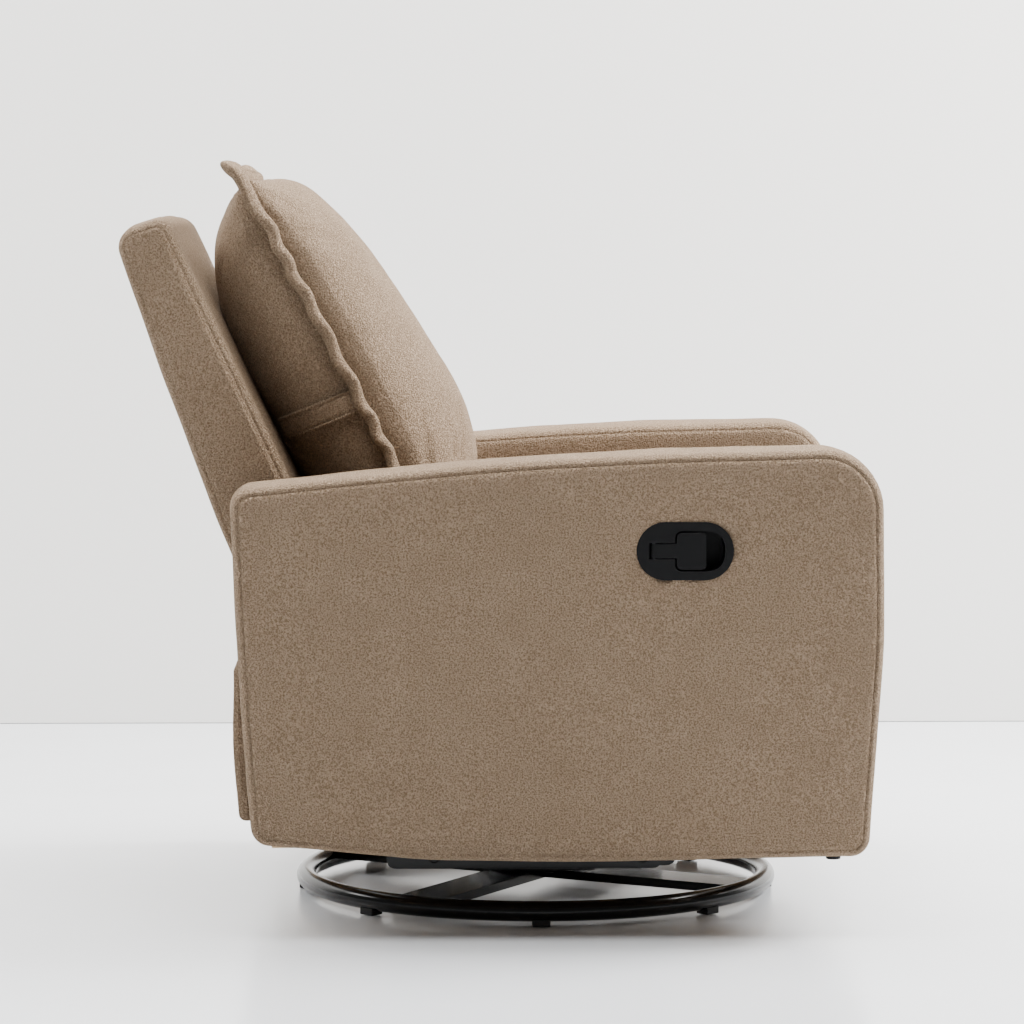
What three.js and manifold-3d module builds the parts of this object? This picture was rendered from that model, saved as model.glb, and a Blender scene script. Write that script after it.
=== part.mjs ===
// A swivel glider recliner for a nursery: an upholstered chair that turns on a steel ring and glides forward
// and back on four hanging links. Its back reclines, and the paddle in its right arm lets a footrest open.
// Millimetres. +Z is up, the chair faces -Y, and the origin is on the floor under the middle of its outline.
import * as THREE from "three";
import { mergeVertices } from "three/addons/utils/BufferGeometryUtils.js";
import Module from "manifold-3d";

const wasm = await Module();
wasm.setup();

// Driving dimensions
const WIDTH = 800;
const ARM_THICKNESS = 140;
const ARM_FRONT_Y = -457; // front of the arms, the foremost point
const ARM_REAR_Y = 319;
const ARM_FRONT_TOP = 585; // arm height at the front
const ARM_REAR_TOP = 536; // arm height at the back
const ARM_BOTTOM = 99; // underside of the arms above the floor
const CUSHION_TOP = 920;
const SEAT_TOP = 437;
const SEAT_BOTTOM = 329;
const GAP = 0.3; // between parts that touch

const SWIVEL_Y = -54; // the swivel's axis, behind the middle of the seat
const RING_RADIUS = 294;
const RING_TUBE = 12.5;
const PAD_HEIGHT = 5;
const PAD_COUNT = 8;
const BASE_TURN = -30; // degrees that the base cross is turned from the chair's front, to its right

const GLIDE_PIVOT_Y = 130; // links hang this far before and behind the swivel's axis
const GLIDE_PIVOT_Z = 153;
const GLIDE_LINK = 90; // between a glide link's pivots

const RECLINE_PIVOT = { y: 215, z: 325 };
const BACK_LEAN = 23; // degrees from vertical, along the middle of the back
const BACK_HALF = 250;

// The footrest linkage in the plane of the side, shut. Angles are in degrees above straight ahead.
const CRANK = { y: -300, z: 280, length: 200, angle: -150 };
const STAY = { y: -359, z: 282.6, length: 197, angle: -151 };
const ARM_LINK = { length: 300, angle: 6.7 }; // from the crank's knee to the footrest's hinge

const PADDLE_Y = -221; // middle of the release handle on the right arm
const PADDLE_Z = 465;

const PIN = 5; // radius of the footrest's pivots
const HOLE = 5.7;

const HALF_WIDTH = WIDTH / 2;
const ARM_INSIDE = HALF_WIDTH - ARM_THICKNESS;
const RAD = Math.PI / 180;

// Finishes
function finish(color, roughness, metalness) {
  return new THREE.MeshStandardMaterial({ color, roughness, metalness });
}
const fleece = finish(0xa08a72, 0.95, 0);
const blackSteel = finish(0x0c0c0e, 0.3, 0.6);
const zincSteel = finish(0x9a9c9e, 0.4, 0.9);
const blackPlastic = finish(0x191919, 0.45, 0);
const rubber = finish(0x101010, 0.8, 0);
const plywood = finish(0xc19a6b, 0.75, 0);
const springWire = finish(0x55585c, 0.4, 0.9);

// A closed geometry as a manifold-3d solid, and back.
function toSolid(geometry) {
  const bare = (geometry.index ? geometry.toNonIndexed() : geometry).clone();
  for (const name of Object.keys(bare.attributes)) if (name !== "position") bare.deleteAttribute(name);
  const merged = mergeVertices(bare, 1e-3);
  const mesh = new wasm.Mesh({
    numProp: 3,
    vertProperties: merged.attributes.position.array,
    triVerts: new Uint32Array(merged.index.array),
  });
  mesh.merge();
  return new wasm.Manifold(mesh);
}
function toGeometry(solid) {
  const mesh = solid.getMesh();
  const geometry = new THREE.BufferGeometry();
  geometry.setAttribute("position", new THREE.BufferAttribute(new Float32Array(mesh.vertProperties), 3));
  geometry.setIndex(new THREE.BufferAttribute(new Uint32Array(mesh.triVerts), 1));
  geometry.computeVertexNormals();
  return geometry;
}
const join = (first, ...rest) => toGeometry(rest.reduce((all, g) => all.add(toSolid(g)), toSolid(first)));
const cut = (first, ...rest) => toGeometry(rest.reduce((all, g) => all.subtract(toSolid(g)), toSolid(first)));

// Plain shapes, each given by where it lies.
function box(x0, x1, y0, y1, z0, z1) {
  const geometry = new THREE.BoxGeometry(x1 - x0, y1 - y0, z1 - z0);
  return geometry.translate((x0 + x1) / 2, (y0 + y1) / 2, (z0 + z1) / 2);
}
function uprightCylinder(radius, z0, z1, sides = 32, topRadius = radius) {
  const geometry = new THREE.CylinderGeometry(topRadius, radius, z1 - z0, sides);
  return geometry.rotateX(Math.PI / 2).translate(0, 0, (z0 + z1) / 2);
}
function crossPin(radius, x0, x1, y, z, sides = 16) {
  const geometry = new THREE.CylinderGeometry(radius, radius, x1 - x0, sides);
  return geometry.rotateZ(Math.PI / 2).translate((x0 + x1) / 2, y, z);
}
// An outline through [y, z, corner radius] points, with its corners rounded.
function outline(points, Kind = THREE.Shape) {
  const shape = new Kind();
  points.forEach(([y, z, r], i) => {
    const corner = new THREE.Vector2(y, z);
    const before = new THREE.Vector2(...points.at(i - 1)).sub(corner).setLength(r);
    const after = new THREE.Vector2(...points[(i + 1) % points.length]).sub(corner).setLength(r);
    const [start, end] = [before.add(corner), after.add(corner)];
    if (i === 0) shape.moveTo(start.x, start.y);
    else shape.lineTo(start.x, start.y);
    if (r > 0) shape.quadraticCurveTo(corner.x, corner.y, end.x, end.y);
  });
  shape.closePath();
  return shape;
}
// A side view in the Y-Z plane, extruded along X, with its long edges rounded by edge.
const SIDE_VIEW = new THREE.Matrix4().makeBasis(
  new THREE.Vector3(0, 1, 0),
  new THREE.Vector3(0, 0, 1),
  new THREE.Vector3(1, 0, 0),
);
function sidePlate(shape, x0, x1, edge = 0, curveSegments = 5) {
  const geometry = new THREE.ExtrudeGeometry(shape, {
    depth: x1 - x0 - 2 * edge,
    curveSegments,
    bevelEnabled: edge > 0,
    bevelThickness: edge,
    bevelSize: edge,
    bevelOffset: -edge,
    bevelSegments: 2,
  });
  return geometry.applyMatrix4(SIDE_VIEW).translate(x0 + edge, 0, 0);
}
// A flat link with round ends through its pivots, with a hole at each pivot in holes.
function linkShape(from, to, halfWidth, holes, holeRadius) {
  const angle = Math.atan2(to.z - from.z, to.y - from.y);
  const shape = new THREE.Shape();
  shape.absarc(from.y, from.z, halfWidth, angle + Math.PI / 2, angle - Math.PI / 2, false);
  shape.absarc(to.y, to.z, halfWidth, angle - Math.PI / 2, angle + Math.PI / 2, false);
  for (const hole of holes) {
    shape.holes.push(new THREE.Path().absarc(hole.y, hole.z, holeRadius, 0, 2 * Math.PI));
  }
  return shape;
}

const chair = new THREE.Group();
function part(group, name, geometry, material, x = 0, y = 0, z = 0) {
  const mesh = new THREE.Mesh(geometry, material);
  mesh.name = name;
  mesh.position.set(x, y, z);
  group.add(mesh);
  return mesh;
}
// Both sides of the chair, given the function that makes a side from its name and its sign in X.
const bothSides = (make) => [["left", 1], ["right", -1]].forEach(([side, sign]) => make(side, sign));
// The X range between two distances from the middle on one side, and a plate or a pin that fills it.
const span = (sign, near, far) => [sign * near, sign * far].sort((a, b) => a - b);
const plateOnSide = (shape, sign, near, far) => sidePlate(shape, ...span(sign, near, far));
function pinOnSide(radius, sign, near, far, at, sides = 12) {
  return crossPin(radius, ...span(sign, near, far), at.y, at.z, sides);
}

// The base: a rolled and welded tube ring on rubber pads, a cross of two flat bars, and the swivel on it.
const RING_Z = PAD_HEIGHT + RING_TUBE + GAP;
const CROSS_BOTTOM = 18;
const CROSS_TOP = 29;
const CROSS_WIDTH = 62;
const PEDESTAL_TOP = 36;
const BEARING_TOP = 42;
const KING_PIN_BOTTOM = 12;
const KING_PIN_RADIUS = 8;
function makeBase() {
  const base = new THREE.Group();
  base.position.set(0, SWIVEL_Y, 0);
  base.rotation.z = BASE_TURN * RAD;
  chair.add(base);

  part(base, "base_ring", new THREE.TorusGeometry(RING_RADIUS, RING_TUBE, 10, 48), blackSteel, 0, 0, RING_Z);

  const reach = RING_RADIUS - 7;
  const half = CROSS_WIDTH / 2;
  const bars = join(
    box(-reach, reach, -half, half, CROSS_BOTTOM, CROSS_TOP),
    box(-half, half, -reach, reach, CROSS_BOTTOM, CROSS_TOP),
  );
  const ringRoom = new THREE.TorusGeometry(RING_RADIUS, RING_TUBE + GAP, 10, 48).translate(0, 0, RING_Z);
  const cross = cut(
    bars,
    uprightCylinder(KING_PIN_RADIUS + 0.6, 0, 60),
    ringRoom,
  );
  part(base, "base_cross", cross, blackSteel);

  for (let i = 0; i < PAD_COUNT; i++) {
    const turn = (i / PAD_COUNT) * 2 * Math.PI - BASE_TURN * RAD;
    const block = box(-11, 11, -9, 9, 0, PAD_HEIGHT + 7);
    const tube = new THREE.TorusGeometry(RING_RADIUS, RING_TUBE + 2 * GAP, 10, 96)
      .translate(0, -RING_RADIUS, RING_Z);
    const pad = part(base, `ring_pad_${i + 1}`, cut(block, tube), rubber);
    pad.position.set(-RING_RADIUS * Math.sin(turn), RING_RADIUS * Math.cos(turn), 0);
    pad.rotation.z = turn;
  }

  const pedestal = cut(
    join(
      box(-56, 56, -56, 56, CROSS_TOP + GAP, CROSS_TOP + 4),
      uprightCylinder(54, CROSS_TOP + 3, PEDESTAL_TOP, 32, 50),
    ),
    uprightCylinder(KING_PIN_RADIUS + 0.6, CROSS_TOP - 1, PEDESTAL_TOP + 1),
  );
  part(base, "swivel_pedestal", pedestal, blackSteel);

  const bearing = cut(
    uprightCylinder(60, PEDESTAL_TOP + GAP, BEARING_TOP),
    uprightCylinder(30, PEDESTAL_TOP, BEARING_TOP + 1),
  );
  part(base, "swivel_bearing", bearing, zincSteel);

  const kingPin = join(
    uprightCylinder(KING_PIN_RADIUS, KING_PIN_BOTTOM, RAIL_BOTTOM - 2, 24),
    uprightCylinder(14, KING_PIN_BOTTOM, CROSS_BOTTOM - GAP, 6),
  );
  part(base, "king_pin", kingPin, zincSteel);
}

// The carrier turns on the bearing. Its two side rails hold the upper ends of the glide links.
const CARRIER_BOTTOM = BEARING_TOP + GAP;
const RAIL_BOTTOM = 51;
const RAIL_NEAR = 150;
const RAIL_FAR = 154;
const LINK_NEAR = 155;
const LINK_FAR = 159;
const HANGER_NEAR = 160;
const HANGER_FAR = 164;
const GLIDE_HOLE = 6.7;
const GLIDE_STUD = 6;
function makeCarrier() {
  const carrier = new THREE.Group();
  carrier.position.set(0, SWIVEL_Y, 0);
  chair.add(carrier);

  const pinHole = uprightCylinder(KING_PIN_RADIUS + 0.6, 15, 60);
  const plate = join(
    box(-85, 85, -85, 85, CARRIER_BOTTOM, CARRIER_BOTTOM + 4),
    box(-RAIL_FAR, RAIL_FAR, -70, 70, CARRIER_BOTTOM + 3, RAIL_BOTTOM - GAP),
  );
  part(carrier, "swivel_plate", cut(plate, pinHole), blackSteel);

  const foot = 172;
  const postIn = GLIDE_PIVOT_Y - 22;
  const postOut = GLIDE_PIVOT_Y + 22;
  const top = GLIDE_PIVOT_Z + 15;
  const rail = outline([
    [-foot, RAIL_BOTTOM, 14],
    [foot, RAIL_BOTTOM, 14],
    [foot, 81, 8],
    [postOut, 95, 8],
    [postOut, top, 14],
    [postIn, top, 14],
    [postIn, 91, 10],
    [-postIn, 91, 10],
    [-postIn, top, 14],
    [-postOut, top, 14],
    [-postOut, 95, 8],
    [-foot, 81, 8],
  ]);
  bothSides((side, sign) => {
    const plate = plateOnSide(rail, sign, RAIL_NEAR, RAIL_FAR);
    const studs = [-1, 1].map((end) => {
      const at = { y: end * GLIDE_PIVOT_Y, z: GLIDE_PIVOT_Z };
      return pinOnSide(GLIDE_STUD, sign, RAIL_FAR - 1, LINK_FAR - GAP, at);
    });
    part(carrier, `glide_rail_${side}`, join(plate, ...studs), blackSteel);
  });

  for (const [end, sign] of [["front", -1], ["rear", 1]]) {
    const upper = { y: sign * GLIDE_PIVOT_Y, z: GLIDE_PIVOT_Z };
    const lower = { y: sign * GLIDE_PIVOT_Y, z: GLIDE_PIVOT_Z - GLIDE_LINK };
    const shape = linkShape(upper, lower, 13, [upper], GLIDE_HOLE);
    bothSides((side, s) => {
      const plate = plateOnSide(shape, s, LINK_NEAR, LINK_FAR);
      const stud = pinOnSide(GLIDE_STUD, s, LINK_FAR - 1, HANGER_FAR, lower);
      part(carrier, `glide_link_${end}_${side}`, join(plate, stud), blackSteel);
    });
  }
}

// The seat frame hangs on the links: steel hangers, plywood rails, cross boards and sinuous springs.
const RAIL_WOOD_NEAR = 240;
const RAIL_WOOD_FAR = ARM_INSIDE - GAP;
const RAIL_WOOD_TOP = 299;
const BOARD_TOP = 324;
const BOARD_WIDTH = 40;
const HANGER_FRONT = -207;
const HANGER_REAR = 135;
const HANGER_BOTTOM = 49;
const HANGER_BAR = 28; // width of the hanger's foot bar and legs
function makeSeatFrame() {
  const top = RAIL_WOOD_TOP;
  const hanger = outline([
    [HANGER_FRONT, HANGER_BOTTOM, 12],
    [HANGER_REAR, HANGER_BOTTOM, 12],
    [HANGER_REAR, top, 0],
    [HANGER_REAR - HANGER_BAR, top, 0],
    [HANGER_REAR - HANGER_BAR, HANGER_BOTTOM + HANGER_BAR, 10],
    [HANGER_FRONT + HANGER_BAR, HANGER_BOTTOM + HANGER_BAR, 10],
    [HANGER_FRONT + HANGER_BAR, top, 0],
    [HANGER_FRONT, top, 0],
  ]);
  for (const end of [-1, 1]) {
    const hole = new THREE.Path();
    hole.absarc(SWIVEL_Y + end * GLIDE_PIVOT_Y, GLIDE_PIVOT_Z - GLIDE_LINK, GLIDE_HOLE, 0, 2 * Math.PI);
    hanger.holes.push(hole);
  }
  const ear = RECLINE_PIVOT.z + 25;
  const sideRail = outline([
    [-405, 141, 12],
    [296, 141, 12],
    [296, RAIL_WOOD_TOP, 8],
    [RECLINE_PIVOT.y + 25, RAIL_WOOD_TOP, 3],
    [RECLINE_PIVOT.y + 25, ear, 24],
    [RECLINE_PIVOT.y - 25, ear, 24],
    [RECLINE_PIVOT.y - 25, RAIL_WOOD_TOP, 3],
    [-405, RAIL_WOOD_TOP, 4],
  ]);
  for (const [at, radius] of [[RECLINE_PIVOT, 8.8], [CRANK, HOLE], [STAY, HOLE]]) {
    sideRail.holes.push(new THREE.Path().absarc(at.y, at.z, radius, 0, 2 * Math.PI));
  }
  bothSides((side, sign) => {
    part(chair, `glide_hanger_${side}`, plateOnSide(hanger, sign, HANGER_NEAR, HANGER_FAR), blackSteel);
    part(chair, `side_rail_${side}`, plateOnSide(sideRail, sign, RAIL_WOOD_NEAR, RAIL_WOOD_FAR), plywood);
  });
  const under = RAIL_WOOD_TOP + GAP;
  const wide = RAIL_WOOD_FAR - 1;
  const board = (name, front) => {
    part(chair, name, box(-wide, wide, front, front + BOARD_WIDTH, under, BOARD_TOP), plywood);
  };
  board("front_rail", -404);
  board("cross_board_front", HANGER_FRONT - 6);
  board("cross_board_rear", HANGER_REAR + 6 - BOARD_WIDTH);
  const narrow = RAIL_WOOD_NEAR - GAP;
  part(chair, "rear_rail", box(-narrow, narrow, 276, 294, 145, 239), plywood);

  [-150, 0, 150].forEach((x, i) => part(chair, `seat_spring_${i + 1}`, sinuousSpring(), springWire, x, 0, 0));
}
// One zigzag wire spring, lying flat on the boards from the front rail to the rear cross board.
function sinuousSpring() {
  const [first, last] = [-395, 120];
  const [halfSpan, wire] = [26, 2.5];
  const turns = 9;
  const pitch = (last - first) / turns;
  const shape = new THREE.Shape();
  const wave = (offset) => {
    const points = [];
    for (let i = 0; i <= turns * 4; i++) {
      const t = i / 4;
      const x = halfSpan * Math.sin(Math.PI * t);
      const slope = (halfSpan * Math.PI * Math.cos(Math.PI * t)) / pitch;
      const norm = Math.hypot(1, slope);
      points.push([x + offset / norm, first + pitch * t - (offset * slope) / norm]);
    }
    return points;
  };
  const loop = [...wave(-wire), ...wave(wire).reverse()];
  loop.forEach(([x, y], i) => (i ? shape.lineTo(x, y) : shape.moveTo(x, y)));
  shape.closePath();
  const geometry = new THREE.ExtrudeGeometry(shape, { depth: 4, bevelEnabled: false });
  return geometry.translate(0, 0, BOARD_TOP + GAP);
}

// The arms: a timber frame in a padded fabric case that is open below, on small plastic stubs.
const armTop = (y) => {
  const back = (y - ARM_FRONT_Y) / (ARM_REAR_Y - ARM_FRONT_Y);
  return ARM_FRONT_TOP - (ARM_FRONT_TOP - ARM_REAR_TOP) * back ** 2;
};
const FRAME_NEAR = ARM_INSIDE + 30;
const FRAME_FAR = ARM_INSIDE + 90;
const ARM_FRAME_BOTTOM = ARM_BOTTOM + 6;
const BEZEL_HALF = 23; // middle of the bezel to the centre of either round end
const BEZEL_RADIUS = 34.5;
const CUP_RADIUS = 31;
const CUP_DEPTH = 38;
function armFrame(grow) {
  return outline([
    [-415 - grow, ARM_FRAME_BOTTOM, 0],
    [270 + grow, ARM_FRAME_BOTTOM, 0],
    [290 + grow, armTop(290) - 42 + grow, 25],
    [-60, armTop(-60) - 42 + grow, 30],
    [-415 - grow, armTop(-415) - 42 + grow, 45],
  ]);
}
function makeArms() {
  const side = outline([
    [-442, ARM_BOTTOM, 26],
    [-458, 355, 90],
    [ARM_FRONT_Y, ARM_FRONT_TOP + 1, 70],
    [-200, armTop(-200), 60],
    [60, armTop(60), 60],
    [ARM_REAR_Y, armTop(ARM_REAR_Y), 30],
    [294, ARM_BOTTOM + 15, 24],
    [0, ARM_BOTTOM - 6, 90],
  ]);
  const windows = [[-365, -105], [-55, 220]];
  bothSides((name, sign) => {
    const frame = armFrame(0);
    for (const [front, rear] of windows) {
      const top = armTop(rear) - 92;
      const window = [[front, 155, 20], [rear, 155, 20], [rear, top, 20], [front, top, 20]];
      frame.holes.push(outline(window, THREE.Path));
    }
    part(chair, `arm_frame_${name}`, plateOnSide(frame, sign, FRAME_NEAR, FRAME_FAR), plywood);

    const caseOf = sidePlate(side, ...span(sign, ARM_INSIDE, HALF_WIDTH), 16, 6);
    const room = span(sign, FRAME_NEAR - GAP, FRAME_FAR + GAP);
    const mouth = box(...room, -415 - GAP, 270 + GAP, 55, ARM_FRAME_BOTTOM + 2);
    const cuts = [sidePlate(armFrame(GAP), ...room), mouth];
    if (name === "right") {
      cuts.push(bezelShape(CUP_RADIUS + GAP, HALF_WIDTH - CUP_DEPTH - GAP, HALF_WIDTH + 5));
    }
    part(chair, `arm_upholstery_${name}`, cut(caseOf, ...cuts), fleece);

    const stub = uprightCylinder(9, ARM_BOTTOM - 12, ARM_FRAME_BOTTOM - GAP, 20);
    part(chair, `arm_stub_${name}`, stub, blackPlastic, sign * 330, -405);
  });
}
// A stadium round the release handle on the right arm, between two distances from the chair's middle.
function bezelShape(radius, near, far) {
  const rear = { y: PADDLE_Y + BEZEL_HALF, z: PADDLE_Z };
  const front = { y: PADDLE_Y - BEZEL_HALF, z: PADDLE_Z };
  return sidePlate(linkShape(rear, front, radius, [], 0), -far, -near, 0, 12);
}

// The footrest release: a cup let into the right arm, with a paddle hinged on an upright pin at its rear end.
const PADDLE_HINGE = { x: -396, y: -184 };
const OPENING_REAR = -209;
const OPENING_FRONT = -268.5;
const OPENING_HALF = 24;
function makeRelease() {
  const slab = (points, x0, x1) => sidePlate(outline(points), x0, x1);
  const face = -HALF_WIDTH - 2.5;
  const top = PADDLE_Z + OPENING_HALF;
  const bottom = PADDLE_Z - OPENING_HALF;
  const opening = slab(
    [
      [OPENING_FRONT, bottom, 23.9],
      [OPENING_REAR, bottom, 9],
      [OPENING_REAR, top, 9],
      [OPENING_FRONT, top, 23.9],
    ],
    face - 10,
    -HALF_WIDTH + CUP_DEPTH - 4,
  );
  const cup = cut(
    join(
      bezelShape(BEZEL_RADIUS, HALF_WIDTH + GAP, -face),
      bezelShape(CUP_RADIUS, HALF_WIDTH - CUP_DEPTH, HALF_WIDTH + 1),
    ),
    opening,
    box(face - 10, -387, OPENING_REAR - 3, -178.5, PADDLE_Z - 9.5, PADDLE_Z + 9.5),
    uprightCylinder(2.4, PADDLE_Z - 15.5, PADDLE_Z + 15.5, 16).translate(PADDLE_HINGE.x, PADDLE_HINGE.y, 0),
  );
  part(chair, "release_cup", cup, blackPlastic);
  const pin = uprightCylinder(2, PADDLE_Z - 15, PADDLE_Z + 15, 12);
  part(chair, "release_pin", pin, zincSteel, PADDLE_HINGE.x, PADDLE_HINGE.y);

  const outer = face + 1;
  const inner = outer + 5.5;
  const blade = [
    [-246, PADDLE_Z - 22, 6],
    [-211, PADDLE_Z - 22, 7],
    [-211, PADDLE_Z + 22, 7],
    [-246, PADDLE_Z + 22, 6],
  ];
  const paddle = cut(
    join(
      slab(blade, outer, inner),
      box(outer, inner, -213, PADDLE_HINGE.y, PADDLE_Z - 8.5, PADDLE_Z + 8.5),
      box(outer + 1, inner + 5, -246, -242, PADDLE_Z - 16, PADDLE_Z + 16),
      uprightCylinder(5, PADDLE_Z - 8.5, PADDLE_Z + 8.5, 20).translate(PADDLE_HINGE.x, PADDLE_HINGE.y, 0),
    ),
    uprightCylinder(2.4, PADDLE_Z - 20, PADDLE_Z + 20, 16).translate(PADDLE_HINGE.x, PADDLE_HINGE.y, 0),
  );
  part(chair, "release_paddle", paddle, blackPlastic);
}

// The seat cushion, and the padded panel that closes the seat box at the rear.
function makeSeatPadding() {
  const side = outline([
    [-450, SEAT_BOTTOM, 30],
    [122, SEAT_BOTTOM, 30],
    [122, SEAT_TOP, 34],
    [-450, SEAT_TOP, 40],
  ]);
  part(chair, "seat_cushion", sidePlate(side, -ARM_INSIDE + 4, ARM_INSIDE - 4, 20), fleece);
  const panel = outline([[296.5, 123, 5], [316, 123, 8], [322, 285, 16], [320, 315, 8], [296.5, 315, 5]]);
  part(chair, "rear_panel", sidePlate(panel, -ARM_INSIDE + 2, ARM_INSIDE - 2), fleece);
}

// The back: a plywood board between two pivoting brackets, in a padded case that is open below.
const BOARD_HALF = 220;
const BOARD_THICKNESS = 18;
const BRACKET = 4;
const BRACKET_HALF = 16;
const BRACKET_TOP = 150;
const CASE_BOTTOM = 356;
const backFront = (z) => 263 + (z - 563) * 0.4766;
const BACK_KNEE = { y: 337, z: 479 }; // the rear turns from steep to leaning here
const backRear = (z) => BACK_KNEE.y + (z - BACK_KNEE.z) * 0.3605;
// A shape drawn along the back's lean, with its Z from the recline pivot upward.
const leanBox = (...extents) =>
  box(...extents).rotateX(-BACK_LEAN * RAD).translate(0, RECLINE_PIVOT.y, RECLINE_PIVOT.z);
function makeBack() {
  const half = BOARD_THICKNESS / 2;
  const board = leanBox(-BOARD_HALF, BOARD_HALF, -half, half, 12, 505);
  part(chair, "back_board", board, plywood);

  bothSides((side, sign) => {
    const [x0, x1] = span(sign, BOARD_HALF + GAP, BOARD_HALF + GAP + BRACKET);
    const bracket = join(
      leanBox(x0, x1, -BRACKET_HALF, BRACKET_HALF, 0, BRACKET_TOP),
      crossPin(BRACKET_HALF, x0, x1, RECLINE_PIVOT.y, RECLINE_PIVOT.z, 24),
      pinOnSide(8, sign, BOARD_HALF + BRACKET - 1, RAIL_WOOD_FAR - 1, RECLINE_PIVOT, 20),
    );
    part(chair, `recline_bracket_${side}`, bracket, blackSteel);
  });

  const side = outline([
    [backFront(CASE_BOTTOM), CASE_BOTTOM, 40],
    [277, CASE_BOTTOM, 40],
    [BACK_KNEE.y, BACK_KNEE.z, 60],
    [backRear(839), 839, 26],
    [backFront(858), 858, 26],
  ]);
  const reach = BOARD_HALF + BRACKET + 2 * GAP;
  const caseOf = cut(
    sidePlate(side, -BACK_HALF, BACK_HALF, 10, 6),
    leanBox(-BOARD_HALF - GAP, BOARD_HALF + GAP, -half - GAP, half + GAP, -30, 505 + GAP),
    leanBox(-reach, -BOARD_HALF, -BRACKET_HALF - GAP, BRACKET_HALF + GAP, -30, BRACKET_TOP + GAP),
    leanBox(BOARD_HALF, reach, -BRACKET_HALF - GAP, BRACKET_HALF + GAP, -30, BRACKET_TOP + GAP),
  );
  part(chair, "back_upholstery", caseOf, fleece);
}

// The loose pillow in front of the back, and the fabric strap at either side that ties it there.
const PILLOW_HALF = 240;
function makePillow() {
  const side = outline([
    [40, 447, 28],
    [backFront(447) - 4, 447, 34],
    [backFront(695) - 4, 695, 40],
    [backFront(765) - 4, 805, 60],
    [322, CUSHION_TOP, 44],
    [225, CUSHION_TOP - 18, 44],
    [148, 827, 55],
    [32, 605, 44],
    [12, 515, 44],
  ]);
  part(chair, "back_pillow", sidePlate(side, -PILLOW_HALF, PILLOW_HALF, 16, 6), fleece);
  const strap = linkShape({ y: 175, z: 633 }, { y: 253, z: 598 }, 14, [], 0);
  bothSides((name, sign) => {
    part(chair, `pillow_strap_${name}`, plateOnSide(strap, sign, PILLOW_HALF + GAP, PILLOW_HALF + 3), fleece);
  });
}

// The footrest and its linkage. Crank, arm and stay lie side by side, so that each swings past the others.
const CRANK_PLANE = [222, 226];
const ARM_PLANE = [227, 231];
const STAY_PLANE = [232, 236];
const LINK_HALF = 10;
// A point straight ahead and up from another by a link's length, at its angle.
const along = (from, length, angle) => ({
  y: from.y - length * Math.cos(angle * RAD),
  z: from.z + length * Math.sin(angle * RAD),
});
function makeFootrest() {
  const knee = along(CRANK, CRANK.length, CRANK.angle);
  const hinge = along(knee, ARM_LINK.length, ARM_LINK.angle);
  const stayEnd = along(STAY, STAY.length, STAY.angle);

  bothSides((side, sign) => {
    const crank = join(
      plateOnSide(linkShape(CRANK, knee, LINK_HALF, [], 0), sign, ...CRANK_PLANE),
      pinOnSide(PIN, sign, CRANK_PLANE[1] - 1, RAIL_WOOD_FAR - 1, CRANK),
      pinOnSide(PIN, sign, CRANK_PLANE[1] - 1, ARM_PLANE[1] - GAP, knee),
    );
    part(chair, `footrest_crank_${side}`, crank, blackSteel);
    const arm = plateOnSide(linkShape(knee, hinge, LINK_HALF, [knee, hinge], HOLE), sign, ...ARM_PLANE);
    part(chair, `footrest_arm_${side}`, arm, blackSteel);
    const stay = join(
      plateOnSide(linkShape(STAY, stayEnd, LINK_HALF, [], 0), sign, ...STAY_PLANE),
      pinOnSide(PIN, sign, STAY_PLANE[1] - 1, RAIL_WOOD_FAR - 1, STAY),
    );
    part(chair, `footrest_stay_${side}`, stay, blackSteel);

    const web = outline([[-434, 191, 3], [-434, 239, 3], [-417, 223, 6], [-417, 207, 6]]);
    const bracket = join(
      plateOnSide(web, sign, ...STAY_PLANE),
      box(...span(sign, STAY_PLANE[0], STAY_PLANE[0] + 16), -435.7, -433, 183, 247),
      pinOnSide(PIN, sign, ARM_PLANE[0] + GAP, STAY_PLANE[1] - 1, hinge),
    );
    part(chair, `footrest_bracket_${side}`, bracket, blackSteel);
  });
  const tube = crossPin(9, -CRANK_PLANE[0] + GAP, CRANK_PLANE[0] - GAP, CRANK.y, CRANK.z, 20);
  part(chair, "footrest_tube", tube, blackSteel);

  part(chair, "footrest_board", box(-238, 238, -446, -436, 135, 285), plywood);
  const pad = outline([[ARM_FRONT_Y, 121, 9], [-437, 121, 7], [-437, 300, 7], [ARM_FRONT_Y, 300, 9]]);
  const room = box(-238 - GAP, 238 + GAP, -446 - GAP, -430, 135 - GAP, 285 + GAP);
  part(chair, "footrest_pad", cut(sidePlate(pad, -BACK_HALF, BACK_HALF, 4), room), fleece);
}

makeBase();
makeCarrier();
makeSeatFrame();
makeArms();
makeRelease();
makeSeatPadding();
makeBack();
makePillow();
makeFootrest();

export default chair;
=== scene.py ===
import math

import bpy
from mathutils import Matrix, Vector, noise


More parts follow.
